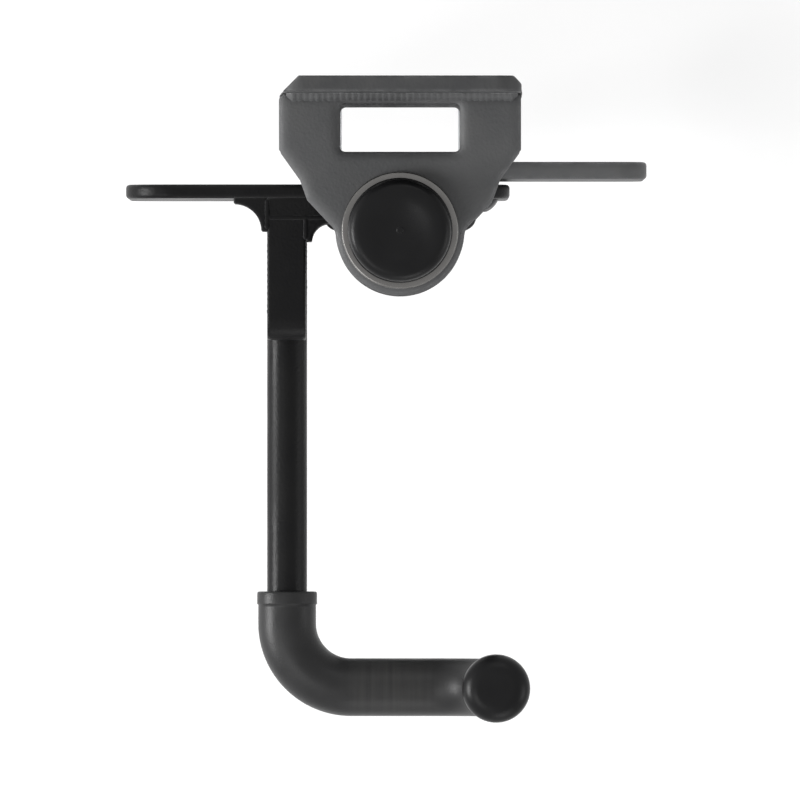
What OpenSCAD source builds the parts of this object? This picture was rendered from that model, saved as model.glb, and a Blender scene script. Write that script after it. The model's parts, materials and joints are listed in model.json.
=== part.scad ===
// Wall rack: a bracket with two lugs, a swivelling arm with a hook, and a broad padded plate.
// The origin lies on the wall behind the hook arm, +X is right, +Z is up and the room is towards -Y.
// Distances from the wall are written as positive depths.

/* [Wall plate] */
// Width of the wall plate and of both lugs
wall_w = 60; // [56:1:72]
// Thickness of the wall plate
wall_t = 4; // [3:0.5:5]
// Height of the plate's top edge above the arm
wall_top = 86; // [82:1:100]
// Width of the narrow waist behind the swinging arm
waist_w = 28; // [22:1:30]
// Corner radius of the wall plate
wall_corner_r = 6; // [2:1:10]
// Cut at the rear left corner, seen from above
rear_cut_left = 5; // [2:0.5:6]
// Cut at the rear right corner, seen from above
rear_cut_right = 2; // [1:0.5:6]
// Distance between the fixing holes, side to side
fix_x = 36; // [32:1:38]
// Distance between the fixing holes, top to bottom
fix_z = 144; // [140:1:150]
// Diameter of the fixing holes
fix_d = 8.5; // [6:0.5:9]

/* [Lugs] */
// Thickness of each lug
lug_t = 6; // [5:0.5:8]
// Height of the upper lug's underside above the arm
upper_lug_z = 50; // [44:1:52]
// Depth of the lower lug's top face below the arm
lower_lug_z = 26; // [26:1:30]
// Length of the lugs' straight sides, measured from the wall
lug_side = 18; // [14:1:20]
// Width of the lugs where the taper ends
neck_w = 50; // [46:1:54]
// Distance of that place from the wall
neck_y = 25; // [22:1:27]
// Width of the lugs at the shoulder
shoulder_w = 46; // [42:1:48]
// Distance of the shoulder from the wall
shoulder_y = 30.5; // [29:0.5:34]
// Radius of the nose round the pivot
nose_r = 16; // [15:0.5:17]
// Width of the window
window_w = 30; // [20:1:32]
// Distance from the wall to the window
window_y = 6.5; // [5.5:0.5:8]
// Length of the window, away from the wall
window_d = 12; // [8:0.5:12]
// Corner radius of the window
window_r = 1.5; // [0.5:0.5:3]

/* [Swivel] */
// Distance of the pivot from the wall
pivot_y = 38; // [37:0.5:42]
// Swing to each side in degrees
swing = 45; // [30:1:45]
// Outer diameter of the swivel tube
tube_d = 24; // [22:0.5:25]
// Bore of the swivel tube
tube_bore = 16; // [14:0.5:17]
// Length of each bush
bush_len = 18; // [12:1:24]
// Diameter of the pivot bolt
bolt_d = 10; // [8:0.5:11]
// Width across the flats of bolt head and nut
bolt_af = 17; // [16:0.5:17.5]
// Height of the bolt's head
head_h = 6.4; // [5:0.2:8]
// Thickness of the steel washers
washer_t = 2; // [1.5:0.5:3]
// Diameter of the washer under the head
top_washer_d = 29; // [27:0.5:30]
// Diameter of the washer under the nut
low_washer_d = 22; // [20:0.5:24]
// Thickness of the nylon thrust washers
thrust_t = 1.5; // [1:0.25:2]
// Thickness of each disc spring's sheet
spring_t = 1; // [0.8:0.1:1.4]
// Cone height of each disc spring
spring_cone = 0.7; // [0.4:0.1:1]
// Diameter of the disc springs
spring_d = 21; // [18:0.5:22]
// Height of the nut's hexagon
nut_h = 8; // [6:0.5:9]
// Height of the nut's round collar
collar_h = 2.4; // [2:0.2:3]

/* [Caps] */
// Diameter of the cap on the bolt's head
top_cap_d = 26; // [23.5:0.5:26.5]
// Diameter of the cap on the nut
low_cap_d = 23; // [22.5:0.5:24]
// Wall of both caps
cap_wall = 1.2; // [0.8:0.1:1.3]

/* [Swing stops] */
// Width of the stop finger
finger_w = 8; // [6:0.5:9]
// Height of the stop finger
finger_h = 5; // [4:0.5:5]
// Reach of the stop finger from the pivot
finger_reach = 19; // [17:0.5:19.5]
// Diameter of the stop pins
stop_pin_d = 5; // [3:0.5:5.5]
// Diameter of the rubber buffers
buffer_d = 7.4; // [7:0.1:8]
// Height of the rubber buffers
buffer_h = 6; // [5:0.5:6]

/* [Arm] */
// Distance from the pivot to the arm bar's centre line
arm_x = 28.3; // [27:0.1:30]
// Width of the arm bar
bar_w = 9.6; // [9:0.2:11]
// Height of the arm bar and of the link
arm_h = 28; // [24:1:28]
// Distance from the wall to the arm bar's square end
bar_end = 65; // [55:1:90]
// Distance from the wall to the link's back
link_y = 29.5; // [29.5:0.1:31]
// Thickness of the link
link_t = 5; // [4:0.5:6]
// Legs of the outer gussets
outer_leg = 8.4; // [5:0.2:8.4]
// Legs of the inner gussets
inner_leg = 6; // [4:0.5:8]
// Thickness of each gusset's tips
gusset_tip = 1.5; // [1:0.5:2]
// Thickness of each gusset, top to bottom
gusset_t = 5; // [3:0.5:8]

/* [Hook] */
// Diameter of the hook rod
rod_d = 10; // [8:0.5:11]
// How deep the rod is let into the arm bar
rod_seat = 2; // [1:0.5:2.5]
// Distance from the wall to the hook's cross run
reach = 152; // [120:1:180]
// Bend radius of the rod
bend_r = 16; // [12:1:18]
// Distance of the upturned tip to the right of the pivot
tip_x = 24; // [16:1:30]
// Height of the rod's end above the cross run
tip_h = 31; // [26:1:50]
// Diameter of the rubber sleeve
sleeve_d = 15; // [13:0.5:17]
// Length of the sleeve before the first bend
sleeve_lead = 8; // [2:1:30]
// Diameter of the tip's cap
tip_cap_d = 17; // [15:0.5:20]
// Length of the rod inside the tip's cap
tip_grip = 8; // [5:1:9]

/* [Rest plate] */
// Reach of the rest plate to the left
rest_left = 70; // [55:1:85]
// How far the rest plate goes past the right spacers
rest_lap = 8; // [6:0.5:40]
// Height of the rest plate
rest_h = 90; // [80:1:110]
// Thickness of the rest plate
rest_t = 3.6; // [3:0.1:5]
// Distance from the wall to the rest plate's back
rest_y = 25; // [18:0.5:26]
// Depth of the rest plate's centre below the arm
rest_z = 165; // [150:1:180]
// Corner radius of the rest plate
rest_corner_r = 12; // [4:1:24]
// Reach of the side wing to the right
wing_right = 63; // [50:1:80]
// How far the side wing goes past the left spacers
wing_lap = 6; // [5.5:0.5:40]
// How far the side wing goes past the spacers, up and down
wing_margin = 9; // [6:0.5:30]
// Corner radius of the side wing
wing_corner_r = 8; // [4:1:12]
// Thickness of the side wing
wing_t = 4.4; // [3:0.2:5]
// Thickness of the washers between the side wing and the rest plate
wing_gap = 1.4; // [1:0.2:3]
// Distance between the spacers, top to bottom
spacer_z = 60; // [50:1:66]
// Diameter of the spacers
spacer_d = 10; // [9.5:0.5:12]
// Diameter of the plate's screws
screw_d = 6; // [5:0.5:7]
// Diameter of the screws' heads
screw_head_d = 10.5; // [10:0.5:12]
// Height of the screws' heads
screw_head_h = 3.3; // [2.5:0.1:4]
// Width of the rubber pad
pad_w = 28; // [20:1:28]
// Height of the rubber pad
pad_h = 80; // [60:1:80]
// Thickness of the rubber pad without its ribs
pad_t = 1.8; // [1.2:0.1:2.5]
// Height of the pad's ribs
rib_h = 1.2; // [0.8:0.1:2]
// Width of each rib
rib_w = 5; // [3:0.5:6]
// Distance from rib to rib
rib_pitch = 8; // [7:0.5:12]

/* [Hidden] */
$fn = 96;

// Overrun of every cut
cut = 1;
// Radial gap between the bushes and the bolt
run_gap = 0.05;
// Radial gap round bolts and screws in plain holes
hole_gap = 0.2;
// Radial gap between a cap and the corners it covers
cap_gap = 0.3;
// Gap between the tube and each thrust washer
end_gap = 0.15;
// Gap between a buffer and the tube, and the finger at the end of the swing
stop_gap = 0.3;
// Room left between the wall plate's waist and what passes it
waist_room = 4;
// Length of thread that shows past the nut
thread_end = 2;
// Radius at the edges of the caps
cap_edge_r = 2.5;
// How far the wall plate stops above the rest plate's lower edge
rest_overhang = 5;
// Width across the flats and depth of the screws' sockets
socket_af = 4;
socket_d = 2;
// Wall of the nut's collar beside its nylon ring
collar_wall = 1;
// Corner radius of the rubber pad
pad_corner_r = 4;
// Radius at the lower and upper front corners of the arm bar
bar_corner_r = 5;
// Height of the tip's cap above the rod's end
cap_top = 4;
// How far the plate's screws end before the wall
screw_end = 1;

// Middle of the spacers, hidden from above between the window and the lugs' neck
side_mid = (window_w + neck_w) / 4;
// Heights of the swivel's stack, from the top down
lug_top = upper_lug_z + lug_t;
head_z = lug_top + washer_t;
tube_top = upper_lug_z - thrust_t - end_gap;
tube_low = -lower_lug_z + thrust_t + end_gap;
lug_low = -lower_lug_z - lug_t;
spring_h = 2 * (spring_t + spring_cone);
low_washer_z = lug_low - spring_h - washer_t;
nut_low = low_washer_z - nut_h;
bolt_low = nut_low - collar_h - thread_end;
// Corner radius of the hexagons
hex_r = bolt_af / sqrt(3);
// Sides and height of the rod
bar_left = arm_x + bar_w / 2;
bar_right = arm_x - bar_w / 2;
rod_z = -arm_h / 2 - rod_d / 2 + rod_seat;
rod_from = link_y + link_t;
rod_end = rod_z + tip_h;
sleeve_end = rod_end - tip_grip;
// Right reach and front of the rest plate
rest_right = side_mid + rest_lap;
rest_front = rest_y + rest_t;
// Left reach, height and back of the side wing
wing_left = side_mid + wing_lap;
wing_h = spacer_z + 2 * wing_margin;
wing_y = rest_y - wing_gap - wing_t;
// Distance of the stop pins from the pivot, with the buffers just clear of the tube
stop_r = tube_d / 2 + stop_gap + buffer_d / 2;
// Direction of a stop pin from the pivot, counted from straight at the wall
stop_angle = swing + asin((finger_w / 2 + buffer_d / 2 + stop_gap) / stop_r);

// A flat shape drawn as seen from the room, given a thickness from one depth
module upright(depth, t) {
    translate([0, -depth, 0])
        rotate([90, 0, 0])
            linear_extrude(t)
                children();
}

// A flat shape drawn as seen from above, given a height from one level
module level(z, h) {
    translate([0, 0, z])
        linear_extrude(h)
            children();
}

// Moves a shape from the origin to the pivot's axis
module at_pivot() {
    translate([0, -pivot_y])
        children();
}

module rounded(w, h, r) {
    square([w - 2 * r, h], center = true);
    square([w, h - 2 * r], center = true);
    for (x = [-1, 1], y = [-1, 1])
        translate([x * (w / 2 - r), y * (h / 2 - r)])
            circle(r);
}

module ring(outer_d, inner_d) {
    difference() {
        circle(d = outer_d);
        circle(d = inner_d);
    }
}

// The house-shaped outline of the lugs, seen from above
module house() {
    polygon([
        [-wall_w / 2 + rear_cut_left, 0], [-wall_w / 2, -rear_cut_left],
        [-wall_w / 2, -lug_side], [-neck_w / 2, -neck_y],
        [-shoulder_w / 2, -shoulder_y], [-nose_r, -pivot_y],
        [nose_r, -pivot_y], [shoulder_w / 2, -shoulder_y],
        [neck_w / 2, -neck_y], [wall_w / 2, -lug_side],
        [wall_w / 2, -rear_cut_right], [wall_w / 2 - rear_cut_right, 0]
    ]);
    at_pivot() circle(nose_r);
}

module lug(z) {
    level(z, lug_t)
        difference() {
            house();
            translate([-wall_w / 2, -wall_t]) square([wall_w, wall_t]);
            translate([0, -window_y - window_d / 2]) rounded(window_w, window_d, window_r);
            at_pivot() circle(d = bolt_d + 2 * hole_gap);
        }
}

// Places on the wall plate where the fixing holes are
module fix_places() {
    for (x = [-1, 1], z = [-1, 1])
        translate([x * fix_x / 2, z * fix_z / 2])
            children();
}

// Places where the spacers, washers and screws of the rest plate are
module spacer_places() {
    for (x = [-1, 1], z = [-1, 1])
        translate([x * side_mid, -rest_z + z * spacer_z / 2])
            children();
}

// One field of the wall plate between two heights
module wall_field(low, high) {
    translate([0, (low + high) / 2])
        rounded(wall_w, high - low, wall_corner_r);
}

module wall_plate() {
    waist_top = upper_lug_z - waist_room;
    waist_low = -arm_h / 2 - waist_room;
    wall_low = -rest_z - rest_h / 2 + rest_overhang;
    color("#3c3d3f")
        intersection() {
            upright(0, wall_t)
                difference() {
                    union() {
                        wall_field(waist_top, wall_top);
                        wall_field(wall_low, waist_low);
                        translate([-waist_w / 2, waist_low - wall_corner_r])
                            square([waist_w, waist_top - waist_low + 2 * wall_corner_r]);
                    }
                    fix_places() circle(d = fix_d);
                    spacer_places() circle(d = screw_d + 2 * run_gap);
                }
            level(wall_low - cut, wall_top - wall_low + 2 * cut) house();
        }
}

module upper_lug() {
    color("#515254") lug(upper_lug_z);
}

module lower_lug() {
    color("#515254")
        difference() {
            lug(lug_low);
            level(lug_low - cut, lug_t + 2 * cut)
                stop_places() circle(d = stop_pin_d);
        }
}

// Places of the two stops, seen from above
module stop_places() {
    at_pivot()
        for (side = [-1, 1])
            rotate(side * stop_angle)
                translate([0, stop_r])
                    children();
}

module stop_pins() {
    color("silver")
        level(lug_low, lug_t + buffer_h)
            stop_places() circle(d = stop_pin_d);
}

module stop_buffers() {
    color("#1c1c1c")
        level(-lower_lug_z, buffer_h)
            stop_places() ring(buffer_d, stop_pin_d);
}

// A plate that reaches some way to the left and to the right, with holes for the screws
module holed_plate(left, right, h, r) {
    difference() {
        translate([(right - left) / 2, -rest_z]) rounded(left + right, h, r);
        spacer_places() circle(d = screw_d + 2 * hole_gap);
    }
}

module rest_plate() {
    color("#1b1b1c")
        upright(rest_y, rest_t) holed_plate(rest_left, rest_right, rest_h, rest_corner_r);
}

module side_wing() {
    color("#515254")
        upright(wing_y, wing_t) holed_plate(wing_left, wing_right, wing_h, wing_corner_r);
}

module wing_washers() {
    color("silver")
        upright(wing_y + wing_t, wing_gap)
            spacer_places() ring(spacer_d, screw_d + 2 * hole_gap);
}

module rest_pad() {
    last = floor((pad_h - rib_w) / 2 / rib_pitch);
    color("#232323")
        intersection() {
            upright(rest_front, pad_t + rib_h)
                translate([0, -rest_z]) rounded(pad_w, pad_h, pad_corner_r);
            union() {
                upright(rest_front, pad_t)
                    translate([0, -rest_z]) square([pad_w, pad_h], center = true);
                for (i = [-last:last])
                    upright(rest_front, pad_t + rib_h)
                        translate([0, -rest_z + i * rib_pitch]) square([pad_w, rib_w], center = true);
            }
        }
}

module plate_spacers() {
    color("silver")
        upright(wall_t, wing_y - wall_t)
            spacer_places() ring(spacer_d, screw_d + 2 * hole_gap);
}

module plate_screws() {
    color("silver")
        difference() {
            union() {
                upright(screw_end, rest_front - screw_end)
                    spacer_places() circle(d = screw_d);
                screw_places() screw_head();
            }
            upright(rest_front + screw_head_h - socket_d, socket_d + cut)
                spacer_places() circle(d = 2 * socket_af / sqrt(3), $fn = 6);
        }
}

// The places of the screws on the front of the rest plate, each with its axis into the room
module screw_places() {
    for (x = [-1, 1], z = [-1, 1])
        translate([x * side_mid, -rest_front, -rest_z + z * spacer_z / 2])
            rotate([90, 0, 0])
                children();
}

// Domed head: the part of a ball above the plane where the ball is as wide as the head
module screw_head() {
    ball_r = (screw_head_d * screw_head_d / 4 + screw_head_h * screw_head_h) / 2 / screw_head_h;
    rotate_extrude()
        intersection() {
            translate([0, screw_head_h - ball_r]) circle(ball_r);
            square([screw_head_d / 2, screw_head_h]);
        }
}

module pivot_bolt() {
    color("silver") {
        level(head_z, head_h)
            at_pivot() circle(hex_r, $fn = 6);
        level(bolt_low, head_z - bolt_low)
            at_pivot() circle(d = bolt_d);
    }
}

module top_washer() {
    color("gainsboro")
        level(lug_top, washer_t)
            at_pivot() ring(top_washer_d, bolt_d + 2 * hole_gap);
}

// A round cap, open below, whose top edge is an arc
module cap(d, bore_d, h) {
    rotate_extrude()
        difference() {
            union() {
                square([d / 2, h - cap_edge_r]);
                square([d / 2 - cap_edge_r, h]);
                translate([d / 2 - cap_edge_r, h - cap_edge_r]) circle(cap_edge_r);
            }
            square([bore_d / 2, h - cap_wall]);
            translate([-cap_edge_r, 0]) square([cap_edge_r, h]);
        }
}

module bolt_cap() {
    bore_d = 2 * (hex_r + cap_gap);
    color("#161616")
        translate([0, -pivot_y, head_z])
            cap(top_cap_d, bore_d, head_h + cap_gap + cap_wall);
}

module nut_cap() {
    bore_d = 2 * (hex_r + cap_gap);
    color("#161616")
        translate([0, -pivot_y, low_washer_z])
            mirror([0, 0, 1])
                cap(low_cap_d, bore_d, low_washer_z - bolt_low + cap_gap + cap_wall);
}

module thrust_washer(z) {
    color("ivory")
        level(z, thrust_t)
            at_pivot() ring(tube_d, bolt_d + 2 * hole_gap);
}

module upper_thrust_washer() {
    thrust_washer(upper_lug_z - thrust_t);
}

module lower_thrust_washer() {
    thrust_washer(-lower_lug_z);
}

// One cone-shaped washer whose rim is lower than its bore
module disc_spring() {
    inner = bolt_d / 2 + hole_gap;
    outer = spring_d / 2;
    rotate_extrude()
        polygon([
            [inner, 0], [outer, -spring_cone],
            [outer, -spring_cone - spring_t], [inner, -spring_t]
        ]);
}

module disc_springs() {
    color("dimgray")
        translate([0, -pivot_y, lug_low]) {
            disc_spring();
            translate([0, 0, -spring_h]) mirror([0, 0, 1]) disc_spring();
        }
}

module bottom_washer() {
    color("gainsboro")
        level(low_washer_z, washer_t)
            at_pivot() ring(low_washer_d, bolt_d + 2 * hole_gap);
}

module lock_nut() {
    collar_d = bolt_af;
    color("silver")
        difference() {
            union() {
                level(nut_low, nut_h)
                    at_pivot() circle(hex_r, $fn = 6);
                level(nut_low - collar_h, collar_h)
                    at_pivot() circle(d = collar_d);
            }
            level(nut_low - collar_h - cut, nut_h + collar_h + 2 * cut)
                at_pivot() circle(d = bolt_d + 2 * run_gap);
            level(nut_low - collar_h - cut, collar_h + cut)
                at_pivot() circle(d = collar_d - 2 * collar_wall);
        }
}

module nut_insert() {
    color("royalblue")
        level(nut_low - collar_h, collar_h)
            at_pivot() ring(bolt_af - 2 * collar_wall, bolt_d + 2 * run_gap);
}

module swivel_tube() {
    color("#1b1b1c")
        level(tube_low, tube_top - tube_low)
            at_pivot() ring(tube_d, tube_bore);
}

module bush(z) {
    color("ivory")
        level(z, bush_len)
            at_pivot() ring(tube_bore, bolt_d + 2 * run_gap);
}

module upper_bush() {
    bush(tube_top - bush_len);
}

module lower_bush() {
    bush(tube_low);
}

module stop_finger() {
    color("#1b1b1c")
        level(tube_low, finger_h)
            at_pivot()
                difference() {
                    translate([-finger_w / 2, 0]) square([finger_w, finger_reach]);
                    circle(d = tube_d);
                }
}

module arm_link() {
    color("#1b1b1c")
        level(-arm_h / 2, arm_h)
            difference() {
                translate([-bar_left, -link_y - link_t]) square([bar_left, link_t]);
                at_pivot() circle(d = tube_d);
            }
}

// The arm bar from the side, with its two front corners as arcs
module bar_side() {
    run = bar_end - rod_from;
    square([run - bar_corner_r, arm_h]);
    translate([0, bar_corner_r]) square([run, arm_h - 2 * bar_corner_r]);
    for (z = [bar_corner_r, arm_h - bar_corner_r])
        translate([run - bar_corner_r, z])
            circle(bar_corner_r);
}

module arm_bar() {
    color("#1b1b1c")
        difference() {
            translate([-bar_right, -rod_from, -arm_h / 2])
                rotate([90, 0, -90])
                    linear_extrude(bar_w)
                        bar_side();
            forward_run(rod_from - cut) circle(d = rod_d);
        }
}

// A fillet plate with two equal legs and a hollow arc between their tips
module fillet_plate(leg) {
    difference() {
        square(leg);
        translate([leg, leg]) circle(leg - gusset_tip);
    }
}

module arm_gussets() {
    color("#1b1b1c")
        for (z = [-arm_h / 2, arm_h / 2 - gusset_t])
            level(z, gusset_t) {
                translate([-bar_left, -link_y]) rotate(180) fillet_plate(outer_leg);
                translate([-bar_right, -rod_from]) rotate(-90) fillet_plate(inner_leg);
            }
}

// Straight run of the hook from one depth to the first bend
module forward_run(from) {
    translate([-arm_x, -from, rod_z])
        rotate([90, 0, 0])
            linear_extrude(reach - bend_r - from)
                children();
}

// The hook's course: forward run, bend to the right, cross run, bend up and tip
module hook_course(from, end_z) {
    forward_run(from) children();
    translate([bend_r - arm_x, bend_r - reach, rod_z])
        rotate([0, 0, 180])
            rotate_extrude(angle = 90)
                translate([bend_r, 0]) children();
    translate([bend_r - arm_x, -reach, rod_z])
        rotate([90, 0, 90])
            linear_extrude(arm_x + tip_x - 2 * bend_r)
                children();
    translate([tip_x - bend_r, -reach, rod_z + bend_r])
        rotate([90, 0, 0])
            rotate([0, 0, -90])
                rotate_extrude(angle = 90)
                    translate([bend_r, 0]) children();
    translate([tip_x, -reach, rod_z + bend_r])
        linear_extrude(end_z - rod_z - bend_r)
            children();
}

module hook_rod() {
    color("#1b1b1c") hook_course(rod_from, rod_end) circle(d = rod_d);
}

module hook_sleeve() {
    color("#2a2a2b")
        hook_course(reach - bend_r - sleeve_lead, sleeve_end) ring(sleeve_d, rod_d);
}

// A mushroom-shaped cap whose crown has half its radius as its edge
module tip_cap() {
    r = tip_cap_d / 2;
    h = tip_grip + cap_top;
    edge = r / 2;
    color("#161616")
        translate([tip_x, -reach, sleeve_end])
            rotate_extrude()
                difference() {
                    union() {
                        square([r, h - edge]);
                        square([r - edge, h]);
                        translate([r - edge, h - edge]) circle(edge);
                    }
                    square([rod_d / 2, tip_grip]);
                }
}

wall_plate();
upper_lug();
lower_lug();
rest_plate();
rest_pad();
side_wing();
wing_washers();
plate_spacers();
plate_screws();
pivot_bolt();
top_washer();
bolt_cap();
upper_thrust_washer();
lower_thrust_washer();
disc_springs();
bottom_washer();
lock_nut();
nut_insert();
nut_cap();
stop_pins();
stop_buffers();
swivel_tube();
upper_bush();
lower_bush();
stop_finger();
arm_link();
arm_bar();
arm_gussets();
hook_rod();
hook_sleeve();
tip_cap();
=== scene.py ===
import bpy
import json
import math
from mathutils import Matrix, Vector, noise


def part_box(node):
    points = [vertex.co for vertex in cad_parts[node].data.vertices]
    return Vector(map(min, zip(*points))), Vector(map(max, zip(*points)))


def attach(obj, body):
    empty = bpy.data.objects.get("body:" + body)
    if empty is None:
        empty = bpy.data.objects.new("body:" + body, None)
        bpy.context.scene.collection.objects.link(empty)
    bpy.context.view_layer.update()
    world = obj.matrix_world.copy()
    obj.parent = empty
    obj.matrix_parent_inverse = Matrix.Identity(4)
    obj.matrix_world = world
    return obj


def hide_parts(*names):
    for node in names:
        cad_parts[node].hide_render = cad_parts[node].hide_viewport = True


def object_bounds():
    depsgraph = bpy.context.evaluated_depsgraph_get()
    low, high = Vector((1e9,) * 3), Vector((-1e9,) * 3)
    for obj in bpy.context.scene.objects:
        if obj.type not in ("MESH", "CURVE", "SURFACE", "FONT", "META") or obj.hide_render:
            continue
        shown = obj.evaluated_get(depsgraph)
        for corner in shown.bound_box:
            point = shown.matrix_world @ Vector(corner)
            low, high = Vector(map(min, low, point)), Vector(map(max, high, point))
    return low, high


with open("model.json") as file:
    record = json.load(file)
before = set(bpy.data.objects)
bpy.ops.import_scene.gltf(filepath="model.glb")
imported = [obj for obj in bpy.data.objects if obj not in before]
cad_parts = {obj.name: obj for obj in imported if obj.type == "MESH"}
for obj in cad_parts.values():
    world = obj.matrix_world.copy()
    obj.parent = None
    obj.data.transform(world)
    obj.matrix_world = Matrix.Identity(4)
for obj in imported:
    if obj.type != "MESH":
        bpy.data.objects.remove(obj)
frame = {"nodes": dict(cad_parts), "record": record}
nodes = frame["nodes"]
mounts = {mount["name"]: tuple(mount["pos_m"]) for mount in frame["record"]["mounts"]}
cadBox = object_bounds()
mm = 0.001


# Camera: far above the rack, looking straight down, with the wall side at the top of the picture
camera = {
    "height": 6.0,      # metres above the arm
    "centreY": -0.080,  # middle of the picture, out from the wall
    "span": 0.200,      # width of the picture at the arm
    "farthest": 40.0,   # how far the camera sees
}


def addCamera():
    data = bpy.data.cameras.new("topCamera")
    data.lens = data.sensor_width * camera["height"] / camera["span"]
    data.clip_end = camera["farthest"]
    obj = bpy.data.objects.new("topCamera", data)
    obj.location = (0, camera["centreY"], camera["height"])
    bpy.context.scene.collection.objects.link(obj)
    bpy.context.scene.camera = obj


addCamera()


# Small helpers for shader trees
def addNode(tree, kind, values=None, **settings):
    node = tree.nodes.new(kind)
    for key, value in settings.items():
        setattr(node, key, value)
    for key, value in (values or {}).items():
        node.inputs[key].default_value = value
    return node


def mathNode(tree, operation, *values):
    node = addNode(tree, "ShaderNodeMath", operation=operation)
    for i, value in enumerate(values):
        if isinstance(value, (int, float)):
            node.inputs[i].default_value = value
        else:
            tree.links.new(value, node.inputs[i])
    return node.outputs[0]


def rangeNode(tree, value, low, high, toLow=0.0, toHigh=1.0):
    node = addNode(tree, "ShaderNodeMapRange", {1: low, 2: high, 3: toLow, 4: toHigh}, clamp=True)
    tree.links.new(value, node.inputs[0])
    return node.outputs[0]


def noiseNode(tree, coords, scale, detail, stretch=(1, 1, 1)):
    mapping = addNode(tree, "ShaderNodeMapping", {"Scale": stretch})
    tree.links.new(coords, mapping.inputs["Vector"])
    node = addNode(tree, "ShaderNodeTexNoise", {"Detail": detail})
    tree.links.new(mapping.outputs[0], node.inputs["Vector"])
    tree.links.new(scale, node.inputs["Scale"])
    return node.outputs["Fac"]


def objectCoords(tree):
    return addNode(tree, "ShaderNodeTexCoord").outputs["Object"]


# Scale of a pattern from the size of one patch
def patternScale(tree, size):
    return mathNode(tree, "DIVIDE", 1.0, size)


def newGroup(name, inputs, outputs, kind="NodeSocketFloat"):
    group = bpy.data.node_groups.new(name, "ShaderNodeTree")
    for label in inputs:
        group.interface.new_socket(name=label, in_out="INPUT", socket_type="NodeSocketFloat")
    for label in outputs:
        group.interface.new_socket(name=label, in_out="OUTPUT", socket_type=kind)
    return group, group.nodes.new("NodeGroupInput"), group.nodes.new("NodeGroupOutput")


# Fine pebbled skin of powder coat and moulded plastic: a height, and a slow change of tone
grainLook = {
    "pebbleDetail": 1.5,
    "toneDetail": 4.0,
    "domeShare": 0.6,  # what the round cells add to the height
}


def makeGrain():
    group, start, end = newGroup("skinGrain", ["Size", "Patch"], ["Height", "Tone"])
    coords = objectCoords(group)
    fine = patternScale(group, start.outputs["Size"])
    slow = patternScale(group, start.outputs["Patch"])
    pebble = noiseNode(group, coords, fine, grainLook["pebbleDetail"])
    cell = addNode(group, "ShaderNodeTexVoronoi", feature="SMOOTH_F1")
    group.links.new(coords, cell.inputs["Vector"])
    group.links.new(fine, cell.inputs["Scale"])
    dome = mathNode(group, "SUBTRACT", 1.0, cell.outputs["Distance"])
    height = mathNode(group, "MULTIPLY_ADD", dome, grainLook["domeShare"], pebble)
    group.links.new(height, end.inputs["Height"])
    group.links.new(noiseNode(group, coords, slow, grainLook["toneDetail"]), end.inputs["Tone"])
    return group


# Edge mark for worn paint and painted edge highlights: where a softened normal leaves the true one,
# broken up by noise
edgeMarkLook = {
    "samples": 4,
    "bend": (0.02, 0.22),         # how far the normals part where the edge mark starts and where it is full
    "breakupDetail": 5.0,
    "breakupSpan": (0.38, 0.66),  # noise values where the edge mark starts and where it is full
}


def makeEdgeWearAndHighlight():
    group, start, end = newGroup("edgeWearAndHighlight", ["Radius", "Breakup"], ["Mask"])
    soft = addNode(group, "ShaderNodeBevel", samples=edgeMarkLook["samples"])
    group.links.new(start.outputs["Radius"], soft.inputs["Radius"])
    true = addNode(group, "ShaderNodeNewGeometry")
    dot = addNode(group, "ShaderNodeVectorMath", operation="DOT_PRODUCT")
    group.links.new(soft.outputs[0], dot.inputs[0])
    group.links.new(true.outputs["Normal"], dot.inputs[1])
    edge = rangeNode(group, mathNode(group, "SUBTRACT", 1.0, dot.outputs["Value"]), *edgeMarkLook["bend"])
    scale = patternScale(group, start.outputs["Breakup"])
    cloud = noiseNode(group, objectCoords(group), scale, edgeMarkLook["breakupDetail"])
    broken = rangeNode(group, cloud, *edgeMarkLook["breakupSpan"])
    group.links.new(mathNode(group, "MULTIPLY", edge, broken), end.inputs["Mask"])
    return group


# Thin dust that settles on what faces up
dustLook = {
    "upward": (0.3, 1.0),  # how far a face looks up where dust starts and where it is full
    "detail": 6.0,
    "span": (0.40, 0.75),  # noise values where dust starts and where it is full
}


def makeDust():
    group, start, end = newGroup("settledDust", ["Patch"], ["Mask"])
    facing = addNode(group, "ShaderNodeNewGeometry")
    split = addNode(group, "ShaderNodeSeparateXYZ")
    group.links.new(facing.outputs["Normal"], split.inputs[0])
    up = rangeNode(group, split.outputs["Z"], *dustLook["upward"])
    scale = patternScale(group, start.outputs["Patch"])
    cloud = noiseNode(group, objectCoords(group), scale, dustLook["detail"])
    broken = rangeNode(group, cloud, *dustLook["span"])
    group.links.new(mathNode(group, "MULTIPLY", up, broken), end.inputs["Mask"])
    return group


# Turning and rubbing lines: noise drawn out along one axis
streakLook = {
    "detail": 2.0,
    "Around": (0.05, 0.05, 1),  # fine only along Z, so the lines run round an upright piece
    "Along": (1, 0.03, 0.03),   # fine only along X
}


def makeStreaks():
    group, start, end = newGroup("streaks", ["Size"], ["Around", "Along"])
    coords = objectCoords(group)
    scale = patternScale(group, start.outputs["Size"])
    for label in ("Around", "Along"):
        lines = noiseNode(group, coords, scale, streakLook["detail"], streakLook[label])
        group.links.new(lines, end.inputs[label])
    return group


# Normal of a surface whose edges look round over the given radius
softSamples = 6


def makeSoftNormal():
    group, start, end = newGroup("softNormal", ["Radius"], ["Normal"], "NodeSocketVector")
    soft = addNode(group, "ShaderNodeBevel", samples=softSamples)
    group.links.new(start.outputs["Radius"], soft.inputs["Radius"])
    group.links.new(soft.outputs[0], end.inputs["Normal"])
    return group


groups = {
    "grain": makeGrain(),
    "soft": makeSoftNormal(),
    "edge": makeEdgeWearAndHighlight(),
    "dust": makeDust(),
    "streaks": makeStreaks(),
}
print("shader groups built:", ", ".join(groups))


def useGroup(tree, name, **values):
    node = addNode(tree, "ShaderNodeGroup", node_tree=groups[name])
    for key, value in values.items():
        node.inputs[key.capitalize()].default_value = value
    return node


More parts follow.
